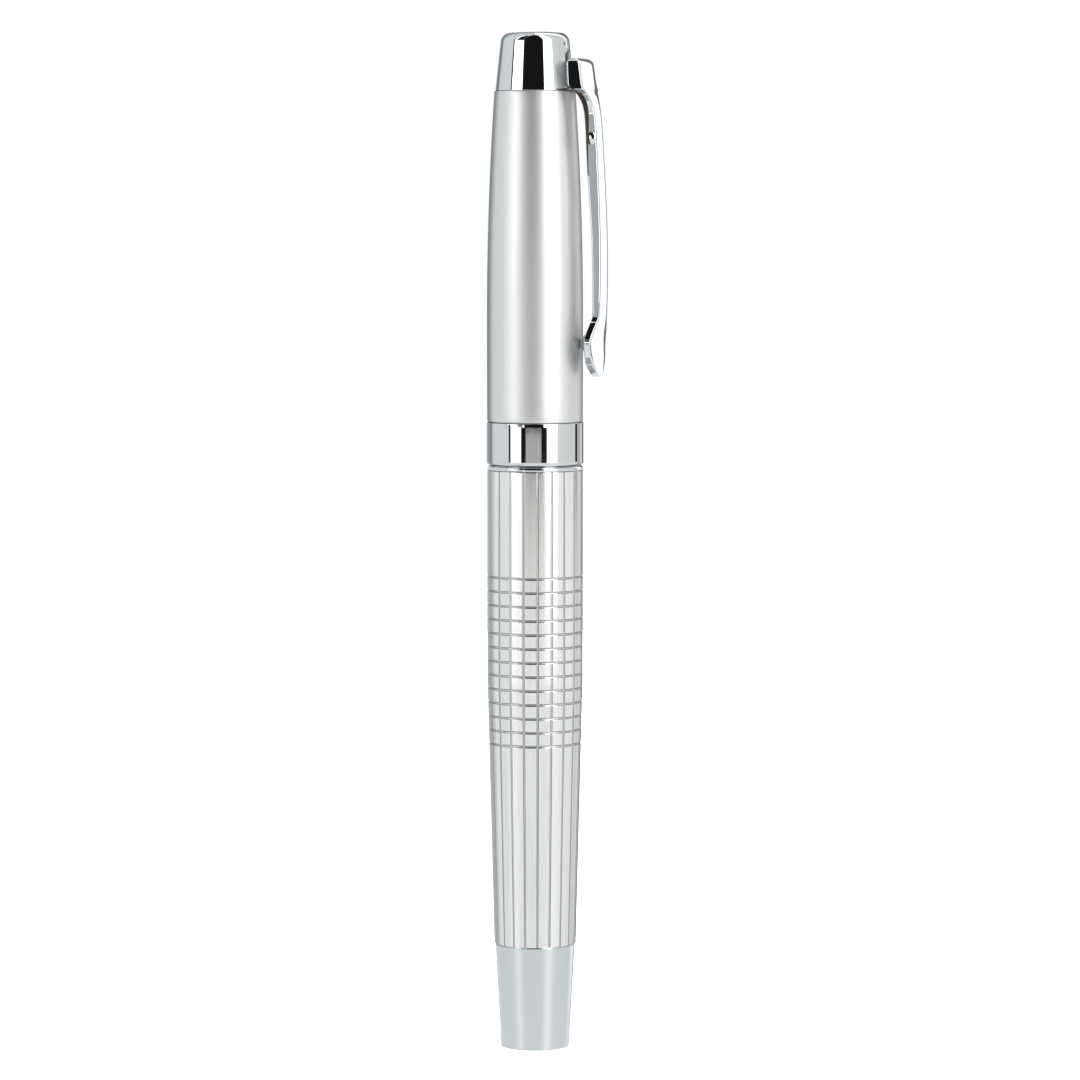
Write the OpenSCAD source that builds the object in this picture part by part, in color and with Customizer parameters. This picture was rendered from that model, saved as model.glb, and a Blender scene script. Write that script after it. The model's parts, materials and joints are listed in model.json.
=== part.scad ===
// Capped rollerball pen, standing on the flat end of its tail with the clip towards +X.
// Millimetres. Z = 0 is the tail end face and the pen's axis is the Z axis.

/* [Barrel] */
// Radius of the straight, front part of the barrel
barrel_r = 6.385; // [6.36:0.005:6.39]
// Radius of the barrel where it meets the tail plug
barrel_start_r = 5.48; // [5.45:0.01:5.6]
// Height of the joint between tail plug and barrel
barrel_start_z = 14; // [13.9:0.05:14.5]
// Height at which the taper becomes a straight cylinder
taper_end_z = 49.45; // [46.45:0.5:51.45]
// Height of the barrel's mouth
barrel_top_z = 77.8; // [77.8:0.01:77.81]
// Number of engraved lines that run along the barrel
line_count = 21; // [12:1:24]
// Number of engraved rings in the grid
ring_count = 13; // [3:1:13]
// Distance from one engraved ring to the next
ring_pitch = 1.87; // [1.7:0.01:1.9]
// Height of the lowest engraved ring
ring_first_z = 41.15; // [40.45:0.1:41.45]
// Width of the engraved lines and rings
groove_w = 0.35; // [0.2:0.05:0.4]
// Depth of the engraved lines and rings
groove_depth = 0.1; // [0.08:0.01:0.12]

/* [Tail plug] */
// Radius of the flat tail end face
tail_end_r = 4.5; // [4.4:0.05:4.5]
// Radius at the top of the tail's chamfer
tail_chamfer_r = 4.62; // [4.55:0.01:4.7]
// Height of the tail's chamfer
tail_chamfer_h = 0.15; // [0.1:0.05:0.3]
// Radius of the tail plug at the joint with the barrel
tail_joint_r = 5.33; // [5.2:0.01:5.4]

/* [Cap] */
// Largest radius of the cap
cap_r = 6.43; // [6.42:0.01:6.45]
// Height at which the cap is widest
cap_widest_z = 97.95; // [95.45:0.5:100.45]
// Bow radius of the cap above its widest place
cap_upper_bow = 450; // [440:5:500]
// Bow radius of the cap below its widest place
cap_lower_bow = 3150; // [3000:50:4000]
// Wall of the cap's metal tube
cap_wall = 0.45; // [0.35:0.05:0.45]
// Radius of the bright band at the cap's mouth
band_r = 6.47; // [6.44:0.01:6.48]
// Height of the cap's mouth
band_z = 78.58; // [78.55:0.01:78.6]
// Height of the bright band's visible part
band_h = 5.67; // [5.4:0.01:5.9]
// Height of the cap tube's upper end
cap_top_z = 128.3; // [128.25:0.05:128.4]

/* [Finial] */
// Radius of the finial at its base
finial_base_r = 5.28; // [5.25:0.01:5.35]
// Radius of the finial below its rounded edge
finial_shoulder_r = 4.7; // [4.65:0.05:4.8]
// Radius of the finial's rounded upper edge
finial_edge_r = 1.25; // [1:0.05:1.4]
// Height of the finial's domed top, which is the pen's length
pen_length = 136.45; // [136.25:0.1:136.85]

/* [Clip] */
// Thickness of the clip's blade
clip_thick = 1.4; // [1.2:0.1:1.5]
// Half the width of the clip's head
clip_head_half = 3.4; // [3:0.1:3.5]
// Half the width of the clip's blade
clip_blade_half = 1.7; // [1.5:0.1:1.9]
// Half the width of the clip's leaf-shaped tail
clip_leaf_half = 3.6; // [3.4:0.05:3.8]
// Distance of the clip's pivot pin from the pen's axis
pivot_x = 3.4; // [3.3:0.05:3.5]
// Height of the clip's pivot pin
pivot_z = 130.35; // [130.3:0.05:130.4]
// Radius of the clip's pivot pin
pivot_r = 0.5; // [0.45:0.05:0.5]

/* [Grip] */
// Radius of the grip section at its root
grip_root_r = 5.35; // [5.2:0.05:5.4]
// Radius of the grip section at its waist
grip_waist_r = 4.75; // [4.7:0.05:4.9]
// Height of the grip section's front end
grip_top_z = 103.95; // [103.45:0.1:103.95]
// Height of the nose cone's front end
nose_top_z = 118.05; // [117.85:0.1:118.25]

/* [Refill] */
// Length of the ceramic rollerball refill, tip included
refill_length = 110.7; // [110.5:0.1:110.9]
// Radius of the refill's tube
refill_r = 3.05; // [3:0.01:3.1]
// Height of the writing ball's foremost point
tip_z = 121.45; // [121.35:0.1:121.55]
// Radius of the writing ball
ball_r = 0.35; // [0.35:0.05:0.35]

/* [Hidden] */
$fn = 96;

running_gap = 0.05;       // radial clearance of the fits that slide or turn
seat_gap = 0.02;          // clearance of the fits that only locate
cut = 1;                  // how far cutting shapes reach past the faces they cut

// Barrel and tail
barrel_bore_r = 4.6;
bush_seat_r = 5.4;
bush_z = 64.65;
bush_top_z = barrel_top_z - 0.3;
plug_spigot_z = 20.45;
plug_floor_z = 6.45;
plug_bore_r = 3.4;
thread_r = 4.7;           // the male thread's mean radius
coupler_z = 66.95;
coupler_tube_r = 4.18;
refill_bore_r = 3.2;
grip_bore_r = coupler_tube_r + seat_gap;

// Bright ring between the barrel and the cap
ring_z = barrel_top_z + seat_gap;
ring_top_z = ring_z + 0.69;
ring_r = barrel_r;
ring_lip_r = 6.2;
ring_lip_h = 0.14;

// Cap
cap_root_z = band_z + band_h;
band_bore_r = 5.6;
band_spigot_r = 5.93;
band_spigot_z = 88.95;
band_edge_r = 0.3;
liner_z = 89.15;
liner_top_z = 125.95;
liner_skirt_r = 5.86;
liner_neck_r = 4.95;
chamber_top_z = 123.85;
finial_spigot_z = 126.05;
finial_spigot_r = 4.92;
screw_r = 1.2;
screw_head_r = 2.3;
screw_head_h = 1.45;
window_half = 1.3;
window_z = [129.2, 131.6];
spring_seat_z = 127.4;
clip_spring_x = 2.3;

// Grip section's nose
nose_flange_z = grip_top_z + seat_gap;
nose_spigot_z = 99.75;
nose_shoulder_z = 109.15;
nose_throat_r = 2.05;
nose_throat_z = 114.3;
nose_mouth_r = 1.22;

// Refill
refill_z = tip_z - refill_length;
tube_bore_r = 2.75;
tube_z = refill_z + 2.6;
tube_top_z = 108.65;
holder_z = 104.65;
holder_r = 1.95;
holder_top_z = 114.15;
tip_root_z = 109.65;
tip_r = 1.13;
tip_cone_z = 118.45;
wick_r = 0.48;
wick_z = 100.95;
ball_z = tip_z - ball_r;
ball_gap = 0.02;

// Outlines ------------------------------------------------------------------

// Points along an arc, in degrees, about a centre in the (radius, height) plane
function arc(centre, r, a0, a1, steps) =
    [for (i = [0:steps]) let (a = a0 + (a1 - a0) * i / steps) centre + r * [cos(a), sin(a)]];

// The same points with the radius shifted, in the opposite order
function shifted_back(points, dr) =
    [for (i = [len(points) - 1:-1:0]) points[i] + [dr, 0]];

// Outer radius of the cap at height z
function cap_outer(z) =
    cap_r - pow(z - cap_widest_z, 2) / (2 * (z > cap_widest_z ? cap_upper_bow : cap_lower_bow));

// Outer radius of the barrel at height z: a cone that meets a cylinder
function barrel_outer(z) =
    z > taper_end_z ? barrel_r
    : barrel_r - (barrel_r - barrel_start_r) * (taper_end_z - z) / (taper_end_z - barrel_start_z);

cap_steps = 14;
cap_profile = [for (i = [0:cap_steps])
    let (z = cap_root_z + (cap_top_z - cap_root_z) * i / cap_steps) [cap_outer(z), z]];

// A tube between two heights
module tube(z0, z1, r_out, r_in) {
    rotate_extrude() translate([r_in, z0]) square([r_out - r_in, z1 - z0]);
}

// A round wire wound into a helix about the Z axis
module coil_spring(z0, z1, mean_r, wire_r, turns) {
    sides = 6;
    rings = turns * 12;
    low = z0 + wire_r;
    rise = z1 - z0 - 2 * wire_r;
    points = [for (i = [0:rings], k = [0:sides - 1])
        let (a = 360 * turns * i / rings, b = 360 * k / sides, r = mean_r + wire_r * cos(b))
        [r * cos(a), r * sin(a), low + rise * i / rings + wire_r * sin(b)]];
    walls = [for (i = [0:rings - 1], k = [0:sides - 1])
        [i * sides + k, (i + 1) * sides + k,
         (i + 1) * sides + (k + 1) % sides, i * sides + (k + 1) % sides]];
    first = [[for (k = [0:sides - 1]) k]];
    last = [[for (k = [sides - 1:-1:0]) rings * sides + k]];
    polyhedron(points, concat(walls, first, last));
}

// Barrel --------------------------------------------------------------------

// The engraved grid: straight lines all along the barrel, and rings round its middle
module engraved_grid() {
    floor_line = [
        [barrel_outer(barrel_start_z) - groove_depth, barrel_start_z - cut],
        [barrel_outer(barrel_start_z) - groove_depth, barrel_start_z],
        [barrel_r - groove_depth, taper_end_z],
        [barrel_r - groove_depth, barrel_top_z + cut]
    ];
    for (i = [0:line_count - 1])
        rotate([0, 0, i * 360 / line_count])
            rotate([90, 0, 0])
                translate([0, 0, -groove_w / 2])
                    linear_extrude(groove_w)
                        polygon(concat(floor_line, shifted_back(floor_line, cut)));
    for (i = [0:ring_count - 1]) {
        z = ring_first_z + i * ring_pitch;
        tube(z - groove_w / 2, z + groove_w / 2, barrel_r + cut, barrel_outer(z) - groove_depth);
    }
}

module barrel_shell() {
    color("silver")
        difference() {
            rotate_extrude()
                polygon([
                    [barrel_bore_r, barrel_start_z],
                    [barrel_start_r, barrel_start_z],
                    [barrel_r, taper_end_z],
                    [barrel_r, barrel_top_z],
                    [bush_seat_r, barrel_top_z],
                    [bush_seat_r, bush_z],
                    [barrel_bore_r, bush_z]
                ]);
            engraved_grid();
        }
}

module tail_plug() {
    neck_z = barrel_start_z - 0.12;
    neck_r = tail_joint_r - 0.15;
    color("lightsteelblue")
        rotate_extrude()
            polygon([
                [0, 0],
                [tail_end_r, 0],
                [tail_chamfer_r, tail_chamfer_h],
                [tail_joint_r, neck_z],
                [neck_r, neck_z],
                [neck_r, barrel_start_z],
                [barrel_bore_r - seat_gap, barrel_start_z],
                [barrel_bore_r - seat_gap, plug_spigot_z],
                [plug_bore_r, plug_spigot_z],
                [plug_bore_r, plug_floor_z],
                [0, plug_floor_z]
            ]);
}

module thread_bush() {
    color("goldenrod")
        tube(bush_z, bush_top_z, bush_seat_r - seat_gap, thread_r + running_gap);
}

module refill_spring() {
    color("dimgray")
        coil_spring(plug_floor_z + seat_gap, refill_z - seat_gap, 2.5, 0.2, 5);
}

// Grip section ---------------------------------------------------------------

module section_washer() {
    color("black")
        tube(bush_top_z + seat_gap, barrel_top_z - seat_gap,
             bush_seat_r - running_gap, thread_r + running_gap);
}

module trim_ring() {
    edge = 0.12;
    lip_z = ring_top_z - ring_lip_h;
    color("gainsboro")
        rotate_extrude()
            polygon(concat(
                [[thread_r + running_gap, ring_z]],
                arc([ring_r - edge, ring_z + edge], edge, -90, 0, 3),
                arc([ring_r - edge, lip_z - edge], edge, 0, 90, 3),
                [[ring_lip_r, lip_z], [ring_lip_r, ring_top_z]],
                [[thread_r + running_gap, ring_top_z]]
            ));
}

module section_coupler() {
    lead = 0.4;
    collar_z = ring_top_z;
    color("goldenrod")
        rotate_extrude()
            polygon([
                [refill_bore_r, coupler_z],
                [thread_r - lead, coupler_z],
                [thread_r, coupler_z + lead],
                [thread_r, collar_z],
                [coupler_tube_r, collar_z],
                [coupler_tube_r, nose_spigot_z - seat_gap],
                [refill_bore_r, nose_spigot_z - seat_gap]
            ]);
}

module grip_section() {
    root_z = ring_top_z + seat_gap;
    snap_z = 79.9;
    snap_h = 1;
    snap_depth = 0.35;
    color([0.06, 0.06, 0.07])
        rotate_extrude()
            polygon([
                [grip_bore_r, root_z],
                [grip_root_r, root_z],
                [grip_root_r, snap_z],
                [grip_root_r - snap_depth, snap_z],
                [grip_root_r - snap_depth, snap_z + snap_h],
                [grip_root_r, snap_z + snap_h],
                [grip_root_r, 84.45],
                [grip_root_r - 0.3, 91.45],
                [grip_waist_r, 98.45],
                [grip_waist_r + 0.1, 102.75],
                [grip_waist_r, grip_top_z - 0.4],
                [grip_waist_r - 0.15, grip_top_z],
                [grip_bore_r, grip_top_z]
            ]);
}

module cap_snap_ring() {
    snap_z = 79.9 + seat_gap;
    snap_h = 1 - 2 * seat_gap;
    edge = 0.2;
    outer = band_bore_r - 0.08;
    inner = grip_root_r - 0.33;
    mid_z = snap_z + snap_h / 2;
    color("silver")
        difference() {
            rotate_extrude()
                polygon([
                    [inner, snap_z],
                    [outer - edge, snap_z],
                    [outer, mid_z - edge / 2],
                    [outer, mid_z + edge / 2],
                    [outer - edge, snap_z + snap_h],
                    [inner, snap_z + snap_h]
                ]);
            translate([-outer - cut, -0.5, snap_z - cut]) cube([outer, 1, snap_h + 2 * cut]);
        }
}

module nose_cone() {
    flange_r = grip_waist_r - 0.15;
    front_r = 1.75;
    lead = 0.3;
    color("gainsboro")
        rotate_extrude()
            polygon([
                [refill_bore_r, nose_spigot_z],
                [coupler_tube_r, nose_spigot_z],
                [coupler_tube_r, nose_flange_z],
                [flange_r - lead, nose_flange_z],
                [flange_r, nose_flange_z + lead],
                [flange_r - 0.25, 106.65],
                [front_r + 0.3, nose_top_z - 0.6],
                [front_r, nose_top_z],
                [nose_mouth_r, nose_top_z],
                [nose_mouth_r, nose_throat_z],
                [nose_throat_r, nose_throat_z],
                [nose_throat_r, nose_shoulder_z],
                [refill_bore_r, nose_shoulder_z]
            ]);
}

// Refill -----------------------------------------------------------------------

module refill_tube() {
    color("lightgray") tube(tube_z, tube_top_z, refill_r, tube_bore_r);
}

module refill_end_plug() {
    rim = 0.35;
    color("black")
        rotate_extrude()
            polygon([
                [0, refill_z],
                [refill_r - rim, refill_z],
                [refill_r, refill_z + rim],
                [refill_r, tube_z],
                [tube_bore_r - seat_gap, tube_z],
                [tube_bore_r - seat_gap, tube_z + 2.6],
                [0, tube_z + 2.6]
            ]);
}

module ink_reservoir() {
    floor_z = tube_z + 3;
    color("midnightblue")
        difference() {
            translate([0, 0, floor_z])
                cylinder(h = holder_z - 0.1 - floor_z, r = tube_bore_r - 0.15);
            translate([0, 0, wick_z - 0.1]) cylinder(h = holder_z, r = wick_r + seat_gap);
        }
}

module ink_wick() {
    needle_r = 0.22;
    color("navy")
        rotate_extrude()
            polygon([
                [0, wick_z],
                [wick_r, wick_z],
                [wick_r, tip_cone_z],
                [needle_r, tip_cone_z + 0.3],
                [needle_r, ball_z - ball_r - 0.1],
                [0, ball_z - ball_r - 0.1]
            ]);
}

module tip_holder() {
    rim_z = tube_top_z + 0.4;
    color("black")
        rotate_extrude()
            polygon([
                [wick_r + seat_gap, holder_z],
                [tube_bore_r - seat_gap, holder_z],
                [tube_bore_r - seat_gap, tube_top_z],
                [refill_r, tube_top_z],
                [refill_r, rim_z - 0.1],
                [refill_r - 0.1, rim_z],
                [holder_r, rim_z],
                [holder_r, holder_top_z - 0.4],
                [holder_r - 0.3, holder_top_z],
                [tip_r + seat_gap, holder_top_z],
                [tip_r + seat_gap, tip_root_z - seat_gap],
                [wick_r + seat_gap, tip_root_z - seat_gap]
            ]);
}

module refill_tip() {
    rim_z = ball_z + 0.1;
    rim_r = 0.42;
    bore_r = wick_r + seat_gap;
    needle_r = 0.25;
    color("silver")
        difference() {
            rotate_extrude()
                polygon([
                    [0, tip_root_z],
                    [tip_r, tip_root_z],
                    [tip_r, tip_cone_z],
                    [rim_r, rim_z],
                    [0, rim_z]
                ]);
            translate([0, 0, tip_root_z - cut]) cylinder(h = tip_cone_z - tip_root_z + cut, r = bore_r);
            translate([0, 0, tip_cone_z - seat_gap]) cylinder(h = 0.34, r1 = bore_r, r2 = needle_r);
            translate([0, 0, tip_cone_z]) cylinder(h = ball_z - tip_cone_z, r = needle_r);
            translate([0, 0, ball_z]) sphere(r = ball_r + ball_gap);
        }
}

module writing_ball() {
    color("lightgray") translate([0, 0, ball_z]) sphere(r = ball_r);
}

// Cap ----------------------------------------------------------------------------

module cap_shell() {
    color("lightgray")
        rotate_extrude()
            polygon(concat(cap_profile, shifted_back(cap_profile, -cap_wall)));
}

module cap_band() {
    color("gainsboro")
        rotate_extrude()
            polygon(concat(
                [[band_bore_r, band_z]],
                arc([band_r - band_edge_r, band_z + band_edge_r], band_edge_r, -90, 0, 4),
                arc([band_r - band_edge_r / 2, cap_root_z - band_edge_r / 2], band_edge_r / 2, 0, 90, 3),
                [[band_spigot_r, cap_root_z]],
                [[band_spigot_r, band_spigot_z], [band_bore_r, band_spigot_z]]
            ));
}

module inner_cap() {
    skirt_bore_r = 5.45;
    neck_bore_r = 4.1;
    color("dimgray")
        rotate_extrude()
            polygon([
                [skirt_bore_r, liner_z],
                [liner_skirt_r, liner_z],
                [liner_skirt_r, 105.45],
                [liner_neck_r, 110.45],
                [liner_neck_r, liner_top_z],
                [screw_r + running_gap, liner_top_z],
                [screw_r + running_gap, chamber_top_z],
                [neck_bore_r, chamber_top_z],
                [neck_bore_r, 109.95],
                [skirt_bore_r, 104.95]
            ]);
}

module cap_screw() {
    slot_w = 0.6;
    slot_h = 0.7;
    head_z = chamber_top_z - screw_head_h;
    color("darkgray")
        difference() {
            union() {
                translate([0, 0, head_z])
                    cylinder(h = screw_head_h, r = screw_head_r);
                translate([0, 0, head_z]) cylinder(h = window_z[1] + cut - head_z, r = screw_r);
            }
            translate([-screw_head_r - cut, -slot_w / 2, head_z - cut])
                cube([2 * (screw_head_r + cut), slot_w, slot_h + cut]);
        }
}

// The finial's outline: a spigot in the cap tube, a cone, a rounded edge and a low dome
module finial_outline() {
    edge_x = finial_shoulder_r - finial_edge_r;
    dome = 0.15;
    edge_z = pen_length - dome - finial_edge_r;
    translate([edge_x, edge_z]) circle(r = finial_edge_r);
    polygon([
        [0, finial_spigot_z],
        [finial_spigot_r, finial_spigot_z],
        [finial_spigot_r, cap_top_z + seat_gap],
        [finial_base_r, cap_top_z + seat_gap],
                [finial_shoulder_r, edge_z],
        [edge_x, pen_length - dome],
        [0, pen_length]
    ]);
}

module finial() {
    pocket_r = 0.85;
    pin_hole_half = 2.6;
    color("gainsboro")
        difference() {
            rotate_extrude() finial_outline();
            translate([0, 0, finial_spigot_z - cut])
                cylinder(h = window_z[1] + 2 * cut + 0.1 - finial_spigot_z, r = screw_r + seat_gap);
            translate([1.4, -window_half, window_z[0]])
                cube([finial_base_r, 2 * window_half, window_z[1] - window_z[0]]);
            translate([clip_spring_x, 0, spring_seat_z - seat_gap])
                cylinder(h = window_z[0] - spring_seat_z + cut, r = pocket_r);
            translate([pivot_x, -pin_hole_half, pivot_z])
                rotate([-90, 0, 0]) cylinder(h = pin_hole_half + finial_base_r, r = pivot_r);
        }
}

module clip_pin() {
    color("darkgray")
        translate([pivot_x, -2.58, pivot_z])
            rotate([-90, 0, 0]) cylinder(h = 5.9, r = pivot_r);
}

module clip_spring() {
    color("dimgray")
        translate([clip_spring_x, 0, 0])
            coil_spring(spring_seat_z, pivot_z - 0.85 - seat_gap, 0.62, 0.12, 4);
}

// Clip ---------------------------------------------------------------------------

// Outer face of the clip in the XZ plane, from its top to its tip
clip_face = [
    [6.7, 132.55], [7.05, 132.4], [7.2, 131.95], [7.4, 130.45], [7.75, 128.95], [8.15, 127.85], [8.5, 126.65],
    [8.8, 124.85], [9.1, 121.45], [9.33, 117.95], [9.53, 113.45], [9.68, 109.45], [9.75, 104.45], [9.75, 100.95],
    [9.62, 98.45], [9.35, 96.65], [9.1, 95.45], [9.02, 94.45], [9.08, 92.95], [9.18, 91.25], [9.25, 90.35]
];

// Half the width of the clip at each height, from its top to its tip
clip_half_width = [
    [clip_head_half - 0.5, 132.55], [clip_head_half - 0.1, 132.35], [clip_head_half, 131.85],
    [clip_head_half, 129.45], [clip_head_half - 0.2, 128.65], [clip_blade_half + 0.7, 127.75],
    [clip_blade_half + 0.15, 126.45], [clip_blade_half - 0.1, 124.85], [clip_blade_half, 117.45],
    [clip_blade_half + 0.15, 100.45], [clip_blade_half + 0.17, 98.25], [clip_leaf_half - 1.05, 97.15],
    [clip_leaf_half - 0.35, 95.75], [clip_leaf_half, 95.05], [clip_leaf_half, 94.55],
    [clip_leaf_half - 0.35, 93.25], [clip_leaf_half - 1.1, 91.95], [clip_leaf_half - 2.1, 90.95],
    [0.6, 90.45], [0, 90.35]
];

// Side view of the clip's blade: the outer face and the same line one thickness inside it
module clip_side() {
    inner = [for (p = clip_face) p - [clip_thick * (p[1] > 132.35 ? 0.9 : 1), 0]];
    polygon(concat(clip_face, [for (i = [len(inner) - 1:-1:0]) inner[i]]));
}

// Front view of the clip
module clip_front() {
    left = [for (i = [len(clip_half_width) - 1:-1:0]) [-clip_half_width[i][0], clip_half_width[i][1]]];
    polygon(concat(clip_half_width, left));
}

// The bosses on both sides of the blade, the foot that rests on the cap, and the pivoted tongue
module clip() {
    reach = 12;
    boss_x = 8.15;
    boss_z = 122.35;
    boss_r = 1;
    boss_half = clip_blade_half + 0.22;
    foot_x = 8;
    foot_z = 94.75;
    foot_r = foot_x - cap_outer(foot_z) - running_gap;
    tongue_half = window_half - 0.1;
    tongue_high = 0.85;
    tongue_x = 1.75;
    eye_r = pivot_r + 0.03;
    color("gainsboro") {
        intersection() {
            rotate([90, 0, 0]) translate([0, 0, -reach / 2]) linear_extrude(reach) clip_side();
            rotate([90, 0, 90]) linear_extrude(reach) clip_front();
        }
        translate([boss_x, -boss_half, boss_z]) rotate([-90, 0, 0]) cylinder(h = 2 * boss_half, r = boss_r);
        intersection() {
            translate([foot_x, 0, foot_z]) sphere(r = foot_r);
            translate([foot_x - foot_r - cut, -foot_r, foot_z - foot_r])
                cube([foot_r + cut + 0.4, 2 * foot_r, 2 * foot_r]);
        }
        difference() {
            translate([tongue_x, -tongue_half, pivot_z - tongue_high])
                cube([6.3 - tongue_x, 2 * tongue_half, 2 * tongue_high]);
            translate([pivot_x, -tongue_half - cut, pivot_z])
                rotate([-90, 0, 0]) cylinder(h = 2 * (tongue_half + cut), r = eye_r);
        }
    }
}

barrel_shell();
tail_plug();
thread_bush();
refill_spring();
section_washer();
trim_ring();
section_coupler();
grip_section();
cap_snap_ring();
nose_cone();
refill_tube();
refill_end_plug();
ink_reservoir();
ink_wick();
tip_holder();
refill_tip();
writing_ball();
cap_shell();
cap_band();
inner_cap();
cap_screw();
finial();
clip_pin();
clip_spring();
clip();
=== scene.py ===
# Looks of the capped rollerball pen: metres, pen standing on its tail, axis along Z, clip towards +X.
import json
import math

import bmesh
import bpy
from mathutils import Matrix, Vector


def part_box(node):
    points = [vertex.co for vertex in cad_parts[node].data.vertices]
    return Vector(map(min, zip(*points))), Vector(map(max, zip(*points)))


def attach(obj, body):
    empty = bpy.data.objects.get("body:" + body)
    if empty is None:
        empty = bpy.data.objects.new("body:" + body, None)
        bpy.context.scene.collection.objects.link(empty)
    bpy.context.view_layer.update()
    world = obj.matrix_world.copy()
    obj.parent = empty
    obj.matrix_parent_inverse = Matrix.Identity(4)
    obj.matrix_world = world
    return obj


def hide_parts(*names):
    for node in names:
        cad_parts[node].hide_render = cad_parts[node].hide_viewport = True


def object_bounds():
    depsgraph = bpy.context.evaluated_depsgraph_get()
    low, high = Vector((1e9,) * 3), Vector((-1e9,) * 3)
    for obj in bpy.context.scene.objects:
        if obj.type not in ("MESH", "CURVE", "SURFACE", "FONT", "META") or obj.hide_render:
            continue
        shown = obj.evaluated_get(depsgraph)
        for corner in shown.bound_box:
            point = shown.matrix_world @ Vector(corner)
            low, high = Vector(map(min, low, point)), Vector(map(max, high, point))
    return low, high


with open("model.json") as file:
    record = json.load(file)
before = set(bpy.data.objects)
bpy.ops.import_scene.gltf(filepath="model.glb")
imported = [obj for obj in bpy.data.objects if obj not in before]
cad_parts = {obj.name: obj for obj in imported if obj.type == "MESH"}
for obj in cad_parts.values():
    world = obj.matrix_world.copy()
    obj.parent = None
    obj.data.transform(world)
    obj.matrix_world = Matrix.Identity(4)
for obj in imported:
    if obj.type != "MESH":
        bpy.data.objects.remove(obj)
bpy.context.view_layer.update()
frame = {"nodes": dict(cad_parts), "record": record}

MM = 0.001
TURN = 2 * math.pi

# Camera: a long lens, a little above the pen's middle, turned from the clip's side
CAMERA_AZIMUTH = math.radians(18)
CAMERA_PITCH = math.radians(4.25)
CAMERA_DISTANCE = 656.6 * MM
CAMERA_LENS = 163.3
CAMERA_SENSOR = 36
TARGET_Z = 68.36 * MM
TARGET_RIGHT = 0.67 * MM

# Sizes that the frame doesn't give, in millimetres
LINE_COUNT = 21
RING_COUNT = 13
RING_PITCH = 1.87
RING_FIRST_Z = 41.15
GROOVE_W = 0.35
GROOVE_DEPTH = 0.1
TAPER_END_Z = 49.45
THREAD_PITCH = 1

ROUND = 192          # segments round a turned part
FILLET_STEPS = 5


# Studio -------------------------------------------------------------------------------------------

def node(tree, kind, **settings):
    made = tree.nodes.new(kind)
    for name, value in settings.items():
        setattr(made, name, value)
    return made


def math_node(tree, operation, a, b=None):
    made = node(tree, "ShaderNodeMath", operation=operation)
    for socket, value in zip(made.inputs, (a, b)):
        if value is None:
            continue
        if isinstance(value, (int, float)):
            socket.default_value = value
        else:
            tree.links.new(value, socket)
    return made.outputs[0]


def ramp_between(tree, value, low, high):
    """0 below low, 1 above high, and a smooth step between them."""
    made = node(tree, "ShaderNodeMapRange", interpolation_type="SMOOTHSTEP")
    tree.links.new(value, made.inputs["Value"])
    made.inputs["From Min"].default_value = low
    made.inputs["From Max"].default_value = high
    return made.outputs[0]


class Studio:
    """A world made of cards: each covers a range of directions round the pen and of heights above it.

    Turns are degrees from the camera towards its right, and heights are degrees above the horizon.
    A later card covers an earlier one.
    """

    def __init__(self, strength):
        world = bpy.data.worlds.new("Studio")
        world.use_nodes = True
        bpy.context.scene.world = world
        self.tree = world.node_tree
        self.tree.nodes.clear()
        place = node(self.tree, "ShaderNodeTexCoord")
        turned = node(self.tree, "ShaderNodeVectorRotate", rotation_type="Z_AXIS")
        turned.inputs["Angle"].default_value = -(CAMERA_AZIMUTH - math.pi / 2)
        self.tree.links.new(place.outputs["Generated"], turned.inputs["Vector"])
        split = node(self.tree, "ShaderNodeSeparateXYZ")
        self.tree.links.new(turned.outputs[0], split.inputs[0])
        turn = math_node(self.tree, "ARCTAN2", split.outputs["Y"], split.outputs["X"])
        self.turn = math_node(self.tree, "DEGREES", turn)
        rise = math_node(self.tree, "ARCSINE", split.outputs["Z"])
        self.rise = math_node(self.tree, "DEGREES", rise)
        self.strength = strength
        first = node(self.tree, "ShaderNodeRGB")
        first.outputs[0].default_value = (1, 1, 1, 1)
        self.colour = first.outputs[0]

    def card(self, turns, rises, colour, soft_turn=1.0, soft_rise=1.0):
        tree = self.tree
        edges = [
            ramp_between(tree, self.turn, turns[0] - soft_turn, turns[0] + soft_turn),
            ramp_between(tree, self.turn, turns[1] + soft_turn, turns[1] - soft_turn),
            ramp_between(tree, self.rise, rises[0] - soft_rise, rises[0] + soft_rise),
            ramp_between(tree, self.rise, rises[1] + soft_rise, rises[1] - soft_rise),
        ]
        cover = edges[0]
        for edge in edges[1:]:
            cover = math_node(tree, "MULTIPLY", cover, edge)
        mix = node(tree, "ShaderNodeMix", data_type="RGBA")
        tree.links.new(cover, mix.inputs[0])
        tree.links.new(self.colour, mix.inputs[6])
        mix.inputs[7].default_value = (*colour, 1)
        self.colour = mix.outputs[2]

    def finish(self):
        """The camera sees a plain white background behind the pen."""
        tree = self.tree
        cards = node(tree, "ShaderNodeBackground")
        cards.inputs["Strength"].default_value = self.strength
        tree.links.new(self.colour, cards.inputs["Color"])
        plain = node(tree, "ShaderNodeBackground")
        plain.inputs["Color"].default_value = (1, 1, 1, 1)
        seen = node(tree, "ShaderNodeLightPath")
        choose = node(tree, "ShaderNodeMixShader")
        tree.links.new(seen.outputs["Is Camera Ray"], choose.inputs[0])
        tree.links.new(cards.outputs[0], choose.inputs[1])
        tree.links.new(plain.outputs[0], choose.inputs[2])
        out = node(tree, "ShaderNodeOutputWorld")
        tree.links.new(choose.outputs[0], out.inputs["Surface"])


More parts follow.
